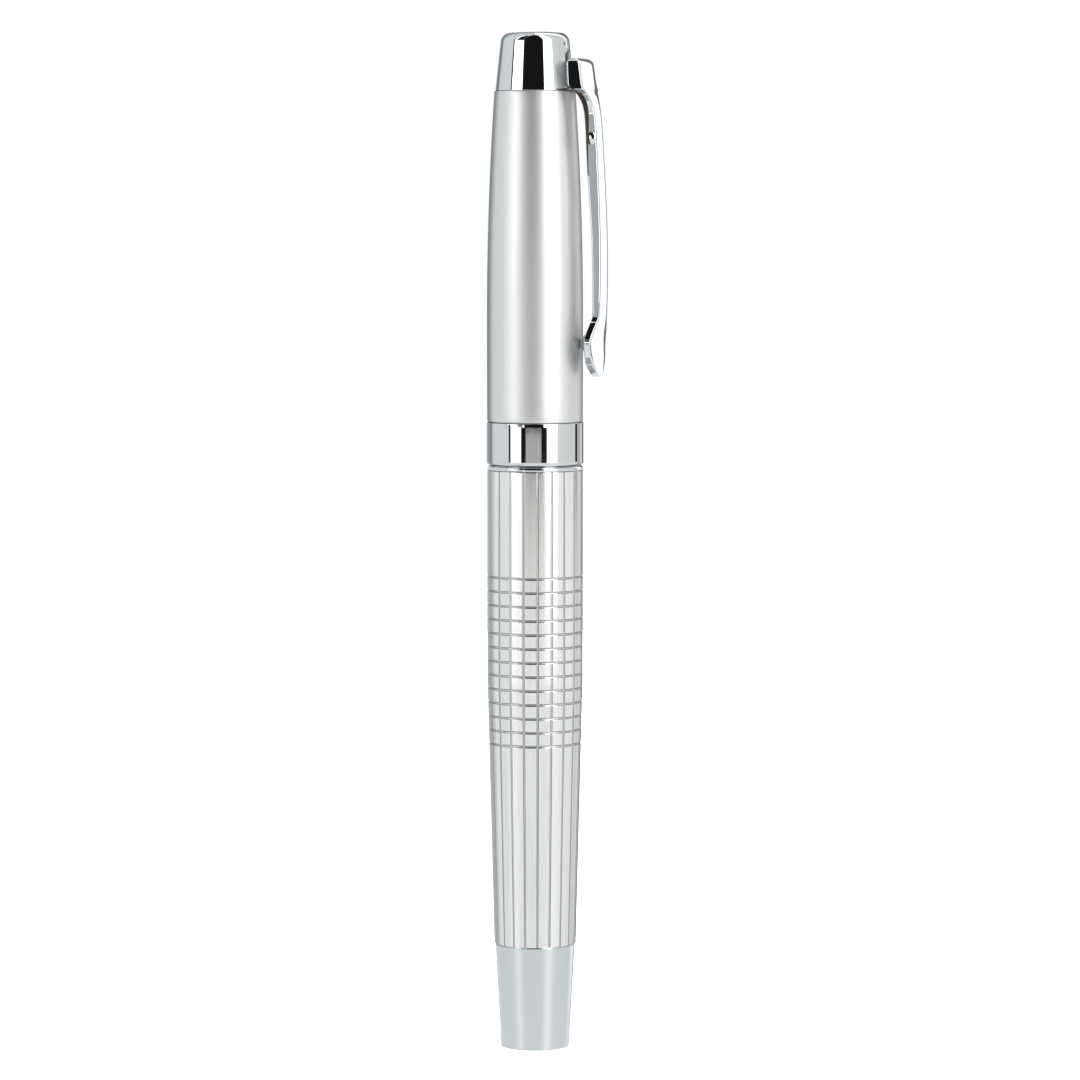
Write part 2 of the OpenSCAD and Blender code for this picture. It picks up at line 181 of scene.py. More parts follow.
def build_studio():
    black = (0.012, 0.012, 0.013)
    softbox = (4.2, 4.2, 4.2)
    low, high = (-91, 9.5), (9.5, 91)
    studio = Studio(strength=1.0)
    # Pale side walls
    studio.card((-181, 0), (-91, 91), (0.97, 1.0, 1.02), soft_turn=0.5)
    studio.card((0, 181), (-91, 91), (1.04, 1.06, 1.04), soft_turn=0.5)
    studio.card((-181, -120), (-91, 91), (0.84, 0.87, 0.88), soft_turn=25)
    studio.card((75, 181), (-91, 91), (0.93, 0.95, 0.94), soft_turn=20)
    # The bright wall behind the pen, with its grey ends
    studio.card((128, 181), (-91, 91), (1.75, 1.75, 1.75))
    studio.card((-181, -156), (-91, 91), (0.8, 0.8, 0.8))
    # Narrow dark edges of the screens
    studio.card((112, 121), (-5, 5), black)
    studio.card((-65.4, -59), low, black, soft_turn=0.6)
    studio.card((-76.5, -70), high, black, soft_turn=0.6)
    # Two tall soft boxes
    studio.card((-59.8, -33.5), (-3.6, 9.5), softbox, soft_rise=0.3)
    studio.card((28.5, 54.5), (-3.6, 9.5), softbox, soft_rise=0.3)
    studio.card((-71, -38), (9.5, 70), softbox, soft_rise=0.3)
    studio.card((28, 58), (9.5, 70), softbox, soft_rise=0.3)
    studio.card((-59.8, -33.5), (-3.6, -2.4), (1.9, 1.9, 1.9), soft_rise=0.1)
    studio.card((28.5, 54.5), (-3.6, -2.4), (1.9, 1.9, 1.9), soft_rise=0.1)
    # The table, seen by the surfaces that look down a little
    table = (-91, -3.65)
    studio.card((-181, 181), table, (0.93, 0.95, 0.96), soft_rise=0.25)
    studio.card((-64, -36), table, (1.13, 1.15, 1.13), soft_turn=3, soft_rise=0.25)
    studio.card((-36, 58), table, (1.13, 1.15, 1.12), soft_turn=6, soft_rise=0.25)
    studio.card((58, 100), table, (1.06, 1.07, 1.05), soft_turn=8, soft_rise=0.25)
    # The table nearer to the pen is plainer
    studio.card((-181, 181), (-91, -8.5), (0.93, 0.95, 0.95), soft_rise=1.5)
    studio.card((-70, -45), (-91, -8.5), (1.10, 1.12, 1.12), soft_turn=6, soft_rise=1.5)
    studio.card((42, 66), (-91, -8.5), (1.10, 1.12, 1.10), soft_turn=6, soft_rise=1.5)
    studio.card((-181, 181), (-91, -13.5), (1.03, 1.06, 1.065), soft_rise=1.2)
    studio.card((-60, -42), (-91, -13.5), (1.40, 1.44, 1.45), soft_turn=9, soft_rise=1.2)
    studio.card((30, 52), (-91, -13.5), (1.38, 1.42, 1.43), soft_turn=9, soft_rise=1.2)
    # The bright wall reaches down behind the table, and its far end is grey
    studio.card((127, 181), (-11, 0), (1.75, 1.75, 1.75))
    studio.card((152.6, 181), (-11, 30), (0.22, 0.22, 0.23), soft_turn=1.2)
    # The dark side of the room behind the camera, and the table's bright front under it
    studio.card((-33.5, 28.5), (-3.6, 9.5), black, soft_rise=0.1)
    studio.card((-38, 28), high, black, soft_rise=0.15)
    studio.card((-33.5, -26), (-2.3, 9), softbox, soft_rise=0.15)
    studio.card((21, 28.5), (-2.3, 9), softbox, soft_rise=0.15)
    studio.card((-22, 15), (-4.2, -2.98), (0.62, 0.62, 0.60), soft_turn=1.5, soft_rise=0.06)
    # What the clip's flat side shows: grey along the blade, black at its head and above its leaf
    studio.card((-43, -29), (-2.3, 3.6), (0.56, 0.61, 0.65), soft_rise=0.1)
    studio.card((-43, -29), (3.6, 9), black, soft_rise=0.1)
    studio.card((-72, -44), (-68, -22), (0.5, 0.52, 0.53), soft_turn=2, soft_rise=3)
    studio.card((-66, -38), (16.5, 70), black)
    studio.finish()


def build_floor():
    size = 0.6
    mesh = bpy.data.meshes.new("Floor")
    shape = bmesh.new()
    bmesh.ops.create_circle(shape, cap_ends=True, segments=96, radius=size)
    shape.to_mesh(mesh)
    shape.free()
    floor = bpy.data.objects.new("Floor", mesh)
    bpy.context.collection.objects.link(floor)
    floor.location.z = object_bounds()[0][2] - 0.00001
    floor.visible_glossy = False
    surface = Surface("Floor_paper")
    shader = surface.shader
    grain = surface.noise(900, 4)
    pale = surface.ramp(grain, [(0.3, (0.93, 0.93, 0.93)), (0.7, (0.96, 0.96, 0.96))])
    surface.link(pale, "Base Color")
    shader.inputs["Roughness"].default_value = 0.9
    shader.inputs["Emission Color"].default_value = (1, 1, 1, 1)
    shader.inputs["Emission Strength"].default_value = 0.25
    mesh.materials.append(surface.material)


def build_lights():
    """One large soft light from above; mirrors don't show it."""
    light = bpy.data.lights.new("Overhead", "AREA")
    light.shape = "DISK"
    light.size = 0.9
    light.energy = 9
    lamp = bpy.data.objects.new("Overhead", light)
    lamp.location = (0.1, -0.1, 1.1)
    lamp.visible_glossy = False
    bpy.context.collection.objects.link(lamp)


def build_camera():
    camera = bpy.data.cameras.new("Camera")
    camera.lens = CAMERA_LENS
    camera.sensor_width = CAMERA_SENSOR
    camera.clip_start = 0.01
    camera.clip_end = 20
    holder = bpy.data.objects.new("Camera", camera)
    bpy.context.collection.objects.link(holder)
    side, level = math.sin(CAMERA_AZIMUTH), -math.cos(CAMERA_AZIMUTH)
    right = Vector((-level, side, 0))
    target = Vector((0, 0, TARGET_Z)) + right * TARGET_RIGHT
    back = Vector((
        side * math.cos(CAMERA_PITCH),
        level * math.cos(CAMERA_PITCH),
        math.sin(CAMERA_PITCH),
    ))
    holder.location = target + back * CAMERA_DISTANCE
    holder.rotation_euler = (math.pi / 2 - CAMERA_PITCH, 0, CAMERA_AZIMUTH)
    bpy.context.scene.camera = holder


# Materials ----------------------------------------------------------------------------------------

class Surface:
    """A Principled material with helpers for procedural detail in the part's own coordinates."""

    def __init__(self, name):
        self.material = bpy.data.materials.new(name)
        self.material.use_nodes = True
        self.tree = self.material.node_tree
        self.shader = self.tree.nodes["Principled BSDF"]
        place = node(self.tree, "ShaderNodeTexCoord")
        self.place = place.outputs["Object"]

    def stretched(self, across, along):
        """Coordinates with so many features per metre across the axis and along it."""
        mapping = node(self.tree, "ShaderNodeMapping")
        mapping.inputs["Scale"].default_value = (across, across, along)
        self.tree.links.new(self.place, mapping.inputs["Vector"])
        return mapping.outputs[0]

    def noise(self, scale, detail=3, roughness=0.5, coordinates=None):
        made = node(self.tree, "ShaderNodeTexNoise")
        made.inputs["Scale"].default_value = scale
        made.inputs["Detail"].default_value = detail
        made.inputs["Roughness"].default_value = roughness
        self.tree.links.new(coordinates or self.place, made.inputs["Vector"])
        return made.outputs["Fac"]

    def ramp(self, value, stops):
        made = node(self.tree, "ShaderNodeValToRGB")
        elements = made.color_ramp.elements
        while len(elements) < len(stops):
            elements.new(0.5)
        for element, (position, colour) in zip(elements, stops):
            element.position = position
            element.color = (*colour, 1)
        self.tree.links.new(value, made.inputs[0])
        return made.outputs[0]

    def spread(self, value, low, high, source=(0.3, 0.7)):
        """Noise from 0.3 to 0.7 spread over low to high."""
        made = node(self.tree, "ShaderNodeMapRange")
        made.inputs["From Min"].default_value = source[0]
        made.inputs["From Max"].default_value = source[1]
        made.inputs["To Min"].default_value = low
        made.inputs["To Max"].default_value = high
        self.tree.links.new(value, made.inputs["Value"])
        return made.outputs[0]

    def mix(self, factor, a, b):
        made = node(self.tree, "ShaderNodeMix", data_type="RGBA")
        self.tree.links.new(factor, made.inputs[0])
        for socket, value in ((made.inputs[6], a), (made.inputs[7], b)):
            if isinstance(value, tuple):
                socket.default_value = (*value, 1)
            else:
                self.tree.links.new(value, socket)
        return made.outputs[2]

    def attribute(self, name):
        made = node(self.tree, "ShaderNodeAttribute", attribute_name=name)
        return made.outputs["Fac"]

    def add(self, a, b):
        return math_node(self.tree, "ADD", a, b)

    def times(self, a, b):
        return math_node(self.tree, "MULTIPLY", a, b)

    def bump(self, height, strength, distance):
        made = node(self.tree, "ShaderNodeBump")
        made.inputs["Strength"].default_value = strength
        made.inputs["Distance"].default_value = distance
        self.tree.links.new(height, made.inputs["Height"])
        self.tree.links.new(made.outputs[0], self.shader.inputs["Normal"])

    def paint_edge_shade(self, start, end, factor):
        """Painted shade: the base colour is darkened as the surface turns away from the eye, from start
        to end, standing in for the darker reflections at the edges.
        """
        weight = node(self.tree, "ShaderNodeLayerWeight")
        weight.inputs["Blend"].default_value = 0.5
        turned_away = ramp_between(self.tree, weight.outputs["Facing"], start, end)
        darker = node(self.tree, "ShaderNodeMix", data_type="RGBA", blend_type="MULTIPLY")
        self.tree.links.new(turned_away, darker.inputs[0])
        base = self.shader.inputs["Base Color"]
        self.tree.links.new(base.links[0].from_socket, darker.inputs[6])
        darker.inputs[7].default_value = (factor, factor, factor, 1)
        self.tree.links.new(darker.outputs[2], base)

    def link(self, value, socket):
        self.tree.links.new(value, self.shader.inputs[socket])

    def set(self, **values):
        for name, value in values.items():
            self.shader.inputs[name.replace("_", " ")].default_value = value


def shade(colour, factor):
    return tuple(part * factor for part in colour)


def polished(name, colour, rough=(0.02, 0.05), edge=(0.86, 0.96, 0.45)):
    """Mirror-polished plating: faint haze, hairline scratches, a very slight orange peel and painted
    shade towards the edges.
    """
    surface = Surface(name)
    surface.set(Metallic=1.0)
    cloud = surface.noise(180, 3)
    tone = surface.ramp(cloud, [(0.3, shade(colour, 0.985)), (0.7, shade(colour, 1.015))])
    surface.link(tone, "Base Color")
    hairs = surface.noise(1, 4, 0.7, surface.stretched(9000, 500))
    haze = surface.add(surface.spread(cloud, *rough), surface.spread(hairs, 0, 0.015, (0.55, 0.75)))
    surface.link(haze, "Roughness")
    surface.bump(surface.noise(700, 2), 0.04, 0.00001)
    # Painted shade: base colour darkened towards the edges
    surface.paint_edge_shade(*edge)
    return surface.material


def satin(name, colour, rough):
    """Pearl-like satin plating: fine metallic speckle, a soft sheen and painted shade towards the
    edges.
    """
    surface = Surface(name)
    surface.set(Metallic=1.0)
    speck = surface.noise(16000, 2, 0.6)
    cloud = surface.noise(120, 2)
    stops = [(0.32, shade(colour, 0.965)), (0.5, colour), (0.68, shade(colour, 1.03))]
    grain = surface.ramp(speck, stops)
    surface.link(grain, "Base Color")
    broad = surface.spread(cloud, rough - 0.01, rough + 0.01)
    uneven = surface.add(broad, surface.spread(speck, -0.02, 0.02))
    surface.link(uneven, "Roughness")
    surface.bump(speck, 0.08, 0.00001)
    # Painted shade: base colour strongly darkened towards the edges
    surface.paint_edge_shade(0.45, 0.78, 0.32)
    return surface.material


def engraved(name, colour):
    """Bright metal brushed along the barrel, pearly in the grid, with painted shade in the engraved
    grooves on their floors and walls.
    """
    surface = Surface(name)
    surface.set(Metallic=1.0, Anisotropic=0.5)
    tangent = node(surface.tree, "ShaderNodeTangent", direction_type="RADIAL", axis="Z")
    surface.tree.links.new(tangent.outputs[0], surface.shader.inputs["Tangent"])
    along = surface.noise(1, 3, 0.6, surface.stretched(5000, 60))
    wide = surface.noise(1, 2, 0.5, surface.stretched(1500, 12))
    speck = surface.noise(7000, 2, 0.6)
    grid = surface.attribute("grid")
    brushed = surface.ramp(along, [(0.3, shade(colour, 0.93)), (0.7, shade(colour, 1.03))])
    pearly = surface.ramp(speck, [(0.35, shade(colour, 0.9)), (0.65, shade(colour, 1.04))])
    metal = surface.mix(grid, brushed, pearly)
    streaked = surface.mix(surface.spread(wide, 0, 0.5), metal, shade(colour, 0.86))
    # Painted shade: groove floors darkened by depth, and their walls darkened further by the wall
    # attribute
    floor = surface.mix(surface.attribute("depth"), streaked, shade(colour, 0.62))
    surface.link(surface.mix(surface.attribute("wall"), floor, shade(colour, 0.24)), "Base Color")
    duller_floor = surface.times(surface.attribute("depth"), 0.1)
    rough = surface.add(surface.spread(along, 0.12, 0.17), duller_floor)
    surface.link(rough, "Roughness")
    surface.bump(surface.add(along, surface.times(speck, surface.times(grid, 0.5))), 0.10, 0.000012)
    # Painted shade: base colour darkened towards the barrel's edges
    surface.paint_edge_shade(0.44, 0.62, 0.4)
    return surface.material


def turned(name, colour, rough, rings=6000):
    """Turned metal: fine tool marks round the axis."""
    surface = Surface(name)
    surface.set(Metallic=1.0)
    marks = surface.noise(1, 2, 0.5, surface.stretched(60, rings))
    cloud = surface.noise(260, 4)
    tone = surface.ramp(cloud, [(0.3, shade(colour, 0.88)), (0.7, shade(colour, 1.06))])
    surface.link(tone, "Base Color")
    surface.link(surface.spread(marks, rough - 0.06, rough + 0.08), "Roughness")
    surface.bump(marks, 0.25, 0.00002)
    return surface.material


def plastic(name, colour, rough, grain_scale, grain_depth, coat=0.0):
    """Moulded plastic: uneven gloss, a fine grain and rubbed lighter patches."""
    surface = Surface(name)
    cloud = surface.noise(300, 4)
    tone = surface.ramp(cloud, [(0.3, shade(colour, 0.8)), (0.75, shade(colour, 1.5))])
    surface.link(tone, "Base Color")
    surface.link(surface.spread(cloud, rough - 0.04, rough + 0.06), "Roughness")
    surface.bump(surface.noise(grain_scale, 3), 0.3, grain_depth)
    if coat:
        surface.set(Coat_Weight=coat, Coat_Roughness=0.04)
    return surface.material


def fibre(name, colour):
    """Ink-soaked fibre: strands along the reservoir."""
    surface = Surface(name)
    strands = surface.noise(1, 4, 0.7, surface.stretched(6000, 200))
    tone = surface.ramp(strands, [(0.3, shade(colour, 0.5)), (0.7, shade(colour, 2.2))])
    surface.link(tone, "Base Color")
    surface.link(surface.spread(strands, 0.55, 0.85), "Roughness")
    surface.bump(strands, 0.6, 0.00004)
    return surface.material


def build_materials():
    chrome = (0.615, 0.63, 0.64)
    steel = (0.5, 0.5, 0.52)
    return {
        "engraved_silver": engraved("Engraved_silver", (0.80, 0.805, 0.80)),
        # The last three numbers set each finish's painted shade towards the edges; band_chrome and
        # finial_chrome are chrome with their own painted edge shade
        "mirror_steel": polished("Mirror_steel", (0.575, 0.605, 0.61), (0.17, 0.21), (0.6, 0.95, 0.85)),
        "polished_chrome": polished("Polished_chrome", chrome, edge=(0.9, 0.98, 0.5)),
        "band_chrome": polished("Band_chrome", chrome, (0.01, 0.03), edge=(0.50, 0.56, 0.32)),
        "finial_chrome": polished("Finial_chrome", chrome, edge=(0.57, 0.65, 0.12)),
        "clip_back": plastic("Clip_back_satin", (0.72, 0.725, 0.72), 0.5, 6000, 0.000005),
        # Painted dark reflection: a dark brown mirror finish for the cap-side rounding of the clip's
        # neck
        "clip_painted_dark_reflection": polished("Clip_painted_reflection", (0.07, 0.053, 0.042), (0.2, 0.3)),
        "satin_silver": satin("Satin_silver", (0.66, 0.665, 0.66), 0.43),
        "brass": turned("Turned_brass", (0.72, 0.52, 0.22), 0.24),
        "spring_steel": turned("Spring_steel", steel, 0.25),
        "washer_rubber": plastic("Washer_rubber", (0.02, 0.02, 0.02), 0.75, 5000, 0.00002),
        "grip_resin": plastic("Grip_resin", (0.008, 0.008, 0.009), 0.16, 2500, 0.000004, coat=0.6),
        "liner_plastic": plastic("Liner_plastic", (0.05, 0.05, 0.055), 0.45, 4000, 0.00001),
        "refill_metal": turned("Refill_metal", (0.68, 0.69, 0.7), 0.26, 9000),
        "refill_plastic": plastic("Refill_plastic", (0.015, 0.015, 0.017), 0.35, 4000, 0.00001),
        "refill_point": turned("Refill_point", (0.7, 0.68, 0.62), 0.2, 14000),
        "ball_metal": polished("Ball_metal", (0.55, 0.55, 0.56), (0.08, 0.14)),
        "ink_fibre": fibre("Ink_fibre", (0.01, 0.016, 0.07)),
    }


# Shapes -------------------------------------------------------------------------------------------

def fillet(outline, radii):
    """A closed outline of (radius, height) points with its corners rounded.

    radii gives the fillet of a corner by its index; "rest" gives the others'.
    """
    count = len(outline)
    result = []
    for i, point in enumerate(outline):
        here = Vector(point)
        before = Vector(outline[i - 1]) - here
        after = Vector(outline[(i + 1) % count]) - here
        size = radii.get(i, radii["rest"])
        if point[0] <= 0 or size <= 0 or before.length == 0 or after.length == 0:
            result.append(point)
            continue
        u, v = before.normalized(), after.normalized()
        half = 0.5 * u.angle(v)
        if half > math.radians(89):
            result.append(point)
            continue
        reach = min(size / math.tan(half), 0.45 * before.length, 0.45 * after.length)
        size = reach * math.tan(half)
        centre = here + (u + v).normalized() * (size / math.sin(half))
        start, end = here + u * reach - centre, here + v * reach - centre
        sweep = start.angle(end)
        for k in range(FILLET_STEPS + 1):
            part = k / FILLET_STEPS
            arm = start * math.sin((1 - part) * sweep) + end * math.sin(part * sweep)
            spot = centre + arm / math.sin(sweep)
            result.append((spot.x, spot.y))
    return result


def piece(name, mesh, body, slot, *replaced, finish=None):
    made = bpy.data.objects.new(name, mesh)
    bpy.context.collection.objects.link(made)
    mesh.materials.append(MATERIALS[finish or slot])
    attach(made, body)
    if replaced:
        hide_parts(*replaced)
    return made


def soften(mesh_object, flat=()):
    """Smooth shading in which the large faces keep their own direction; flat faces aren't smoothed."""
    flat = set(flat)
    for face in mesh_object.data.polygons:
        face.use_smooth = face.index not in flat
    weighted = mesh_object.modifiers.new("Weighted normals", "WEIGHTED_NORMAL")
    weighted.weight = 90
    weighted.keep_sharp = True
    return mesh_object


def lathe_mesh(name, outline, rounds=ROUND):
    """A closed outline of (radius, height) in millimetres, turned about the Z axis."""
    shape = bmesh.new()
    columns = []
    for radius, height in outline:
        if radius <= 1e-6:
            columns.append([shape.verts.new((0, 0, height * MM))])
            continue
        columns.append([
            shape.verts.new((
                radius * MM * math.cos(TURN * i / rounds),
                radius * MM * math.sin(TURN * i / rounds),
                height * MM,
            ))
            for i in range(rounds)
        ])
    for here, there in zip(columns, columns[1:] + columns[:1]):
        if len(here) == 1 and len(there) == 1:
            continue
        for i in range(rounds):
            j = (i + 1) % rounds
            corners = []
            for column, index in ((here, i), (here, j), (there, j), (there, i)):
                corner = column[index % len(column)] if len(column) > 1 else column[0]
                if corner not in corners:
                    corners.append(corner)
            if len(corners) > 2:
                shape.faces.new(corners)
    bmesh.ops.recalc_face_normals(shape, faces=shape.faces)
    mesh = bpy.data.meshes.new(name)
    shape.to_mesh(mesh)
    shape.free()
    return mesh


def turned_piece(name, outline, radii, body, slot, *replaced, rounds=ROUND):
    mesh = lathe_mesh(name, fillet(outline, radii), rounds)
    return soften(piece(name, mesh, body, slot, *replaced))


def grid_mesh(name, angles, heights, radius_at, layers=None):
    """A closed-round skin of one radius for each angle and height, with named values for each point."""
    verts, faces = [], []
    for height in heights:
        for angle in angles:
            radius = radius_at(angle, height)
            verts.append((radius * MM * math.cos(angle), radius * MM * math.sin(angle), height * MM))
    count = len(angles)
    for row in range(len(heights) - 1):
        for i in range(count):
            j = (i + 1) % count
            base = row * count
            faces.append((base + i, base + j, base + count + j, base + count + i))
    mesh = bpy.data.meshes.new(name)
    mesh.from_pydata(verts, [], faces)
    for label, value_at in (layers or {}).items():
        layer = mesh.attributes.new(label, "FLOAT", "POINT")
        values = [value_at(angle, height) for height in heights for angle in angles]
        layer.data.foreach_set("value", values)
    return mesh


def join_meshes(name, meshes):
    shape = bmesh.new()
    for mesh in meshes:
        shape.from_mesh(mesh)
        bpy.data.meshes.remove(mesh)
    joined = bpy.data.meshes.new(name)
    shape.to_mesh(joined)
    shape.free()
    return joined


def curve_through(points):
    """A smooth monotone curve through (x, y) points, as a function of x."""
    xs = [x for x, _ in points]
    ys = [y for _, y in points]
    slopes = [(ys[i + 1] - ys[i]) / (xs[i + 1] - xs[i]) for i in range(len(xs) - 1)]
    tangents = [slopes[0]]
    for a, b in zip(slopes, slopes[1:]):
        tangents.append(0 if a * b <= 0 else 2 * a * b / (a + b))
    tangents.append(slopes[-1])

    def value(x):
        x = min(max(x, xs[0]), xs[-1])
        i = max(k for k in range(len(xs) - 1) if xs[k] <= x)
        width = xs[i + 1] - xs[i]
        t = (x - xs[i]) / width
        start = (1 + 2 * t) * (1 - t) ** 2 * ys[i] + t * (1 - t) ** 2 * width * tangents[i]
        end = t * t * (3 - 2 * t) * ys[i + 1] + t * t * (t - 1) * width * tangents[i + 1]
        return start + end

    return value


# Barrel and tail ----------------------------------------------------------------------------------

def node_box(name):
    """Lowest and highest corner of a CAD node in millimetres."""
    low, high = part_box(name)
    return [value / MM for value in low], [value / MM for value in high]


def groove_depth_and_shade(offset):
    """Depth of a groove and the painted shade on its walls, both 0 to 1, at a distance from its middle.
    """
    half = 0.5 * GROOVE_W
    share = abs(offset) / half
    if share >= 1:
        return 0.0, 0.0
    floor = 0.42
    if share <= floor:
        return 1.0, 0.0
    slope = (1 - share) / (1 - floor)
    depth = slope * slope * (3 - 2 * slope)
    return depth, min(1.0, 4 * depth * (1 - depth) * 1.2)


# Where the mesh is split across a groove, as shares of its width
GROOVE_SAMPLES = (-0.56, -0.5, -0.43, -0.36, -0.28, -0.21, 0.0, 0.21, 0.28, 0.36, 0.43, 0.5, 0.56)


def build_barrel():
    low, high = node_box("barrel_shell")
    start_z, top_z = low[2], high[2]
    straight_r = high[0]
    start_r = 5.48
    bore_r = 4.6
    seat_r = 5.4
    seat_z = node_box("thread_bush")[0][2]
    edge = 0.12
    ring_heights = [RING_FIRST_Z + i * RING_PITCH for i in range(RING_COUNT)]

    def outer(height):
        if height >= TAPER_END_Z:
            return straight_r
        return straight_r - (straight_r - start_r) * (TAPER_END_Z - height) / (TAPER_END_Z - start_z)

    def line_offset(angle, radius):
        pitch = TURN / LINE_COUNT
        nearest = round(angle / pitch) * pitch
        return (angle - nearest) * radius

    def groove(angle, height):
        crossing = [groove_depth_and_shade(line_offset(angle, straight_r))]
        near_rings = [ring for ring in ring_heights if abs(height - ring) < GROOVE_W]
        crossing += [groove_depth_and_shade(height - ring) for ring in near_rings]
        deepest = max(depth for depth, _ in crossing)
        walls = [wall for depth, wall in crossing if depth == deepest]
        return deepest, max(walls)

    def radius_at(angle, height):
        end = min(height - start_z, top_z - height)
        rounding = 0.0 if end >= edge else edge - math.sqrt(max(0.0, edge ** 2 - (edge - end) ** 2))
        return outer(height) - max(groove(angle, height)[0] * GROOVE_DEPTH, rounding)

    angles = []
    for i in range(LINE_COUNT):
        middle = TURN * i / LINE_COUNT
        angles += [middle + GROOVE_W * share / straight_r for share in GROOVE_SAMPLES]
        angles += [middle + TURN / LINE_COUNT * share for share in (0.35, 0.5, 0.65)]
    heights = {start_z, top_z, TAPER_END_Z}
    for part in (0.15, 0.4, 0.7, 1.0):
        heights.add(start_z + edge * part)
        heights.add(top_z - edge * part)
    for ring in ring_heights:
        heights.update(ring + GROOVE_W * share for share in GROOVE_SAMPLES)
        heights.add(ring + RING_PITCH / 2)
    heights.update((start_z + 9, start_z + 18, top_z - 4, top_z - 9))
    skin = grid_mesh("Barrel_skin", angles, sorted(heights), radius_at, {
        # depth and wall also drive the barrel material's painted shade in the grooves
        "depth": lambda angle, height: groove(angle, height)[0],
        "wall": lambda angle, height: groove(angle, height)[1],
        "grid": lambda angle, height: 1.0 if ring_heights[0] < height < ring_heights[-1] else 0.0,
    })
    inside = lathe_mesh("Barrel_inside", [
        (start_r - edge, start_z),
        (bore_r, start_z),
        (bore_r, seat_z),
        (seat_r, seat_z),
        (seat_r, top_z),
        (straight_r - edge, top_z),
    ])
    trim_closing_faces(inside, start_r - edge, straight_r - edge)
    mesh = join_meshes("Barrel", [skin, inside])
    soften(piece("Barrel", mesh, "barrel", "engraved_silver", "barrel_shell"))


def trim_closing_faces(mesh, lower_radius, upper_radius):
    """Take away the faces that join the last point of an outline to its first."""
    shape = bmesh.new()
    shape.from_mesh(mesh)
    radii = (lower_radius * MM, upper_radius * MM)
    doomed = []
    for face in shape.faces:
        found = [math.hypot(corner.co.x, corner.co.y) for corner in face.verts]
        near_low = sum(abs(value - radii[0]) < 1e-7 for value in found)
        near_high = sum(abs(value - radii[1]) < 1e-7 for value in found)
        if near_low == 2 and near_high == 2:
            doomed.append(face)
    bmesh.ops.delete(shape, geom=doomed, context="FACES")
    shape.to_mesh(mesh)
    shape.free()


def build_tail():
    joint_z = node_box("barrel_shell")[0][2]
    top_z = node_box("tail_plug")[1][2]
    turned_piece(
        "Tail",
        [
            (0, 0),
            (4.56, 0),
            (5.33, joint_z - 0.12),
            (5.2, joint_z - 0.12),
            (5.2, joint_z),
            (4.58, joint_z),
            (4.58, top_z),
            (3.4, top_z),
            (3.4, 6.45),
            (0, 6.45),
        ],
        {1: 0.1, 2: 0.06, "rest": 0.03},
        "barrel", "mirror_steel", "tail_plug",
    )


def thread_radius(angle, height, low, high, crest, root):
    """A helical ridge that runs out smoothly at both ends of the thread."""
    turns = (height / THREAD_PITCH - angle / TURN) % 1.0
    ridge = min(1.0, max(0.0, 1.5 - abs(turns - 0.5) * 4.5))
    fade = min(1.0, max(0.0, (height - low) / 0.8), max(0.0, (high - height) / 0.8))
    return root + (crest - root) * ridge * fade


def build_bush():
    low, high = node_box("thread_bush")
    bore, root = 4.75, 4.97
    angles = [TURN * i / 96 for i in range(96)]
    steps = int((high[2] - low[2]) / 0.1)
    heights = [low[2] + (high[2] - low[2]) * i / steps for i in range(steps + 1)]

    def inner(angle, height):
        return thread_radius(angle, height, low[2], high[2] + 2, bore, root)

    threads = grid_mesh("Bush_threads", angles, heights, inner)
    outside = lathe_mesh("Bush_outside", [
        (root, low[2]), (high[0], low[2]), (high[0], high[2]), (root, high[2]),
    ])
    trim_closing_faces(outside, root, root)
    mesh = join_meshes("Bush", [threads, outside])
    soften(piece("Bush", mesh, "barrel", "brass", "thread_bush"))


# Section ------------------------------------------------------------------------------------------

def build_trim_ring():
    low, high = node_box("trim_ring")
    outer = high[0]
    base, top = low[2], high[2]
    belly = [
        (outer - 0.13, base),
        (outer - 0.04, base + 0.06),
        (outer, base + 0.2),
        (outer - 0.01, base + 0.34),
        (outer - 0.07, base + 0.48),
        (outer - 0.2, base + 0.57),
    ]
    outline = [(4.75, base)] + belly + [(6.15, base + 0.58), (6.15, top), (4.75, top)]
    mesh = lathe_mesh("Trim_ring", outline)
    soften(piece("Trim_ring", mesh, "trim_ring", "polished_chrome", "trim_ring"))


def build_coupler():
    low, high = node_box("section_coupler")
    collar_z = node_box("trim_ring")[1][2]
    crest, root, tube, bore = 4.7, 4.45, 4.18, 3.2
    angles = [TURN * i / 96 for i in range(96)]
    steps = int((collar_z - low[2]) / 0.1)
    heights = [low[2] + (collar_z - low[2]) * i / steps for i in range(steps + 1)]

    def outer(angle, height):
        return thread_radius(angle, height, low[2] + 0.3, collar_z - 1.2, crest, root)

    threads = grid_mesh("Coupler_threads", angles, heights, outer)
    rest = lathe_mesh("Coupler_rest", [
        (root, collar_z), (tube, collar_z), (tube, high[2]),
        (bore, high[2]), (bore, low[2]), (root, low[2]),
    ])
    trim_closing_faces(rest, root, root)
    mesh = join_meshes("Coupler", [threads, rest])
    soften(piece("Coupler", mesh, "section", "brass", "section_coupler"))


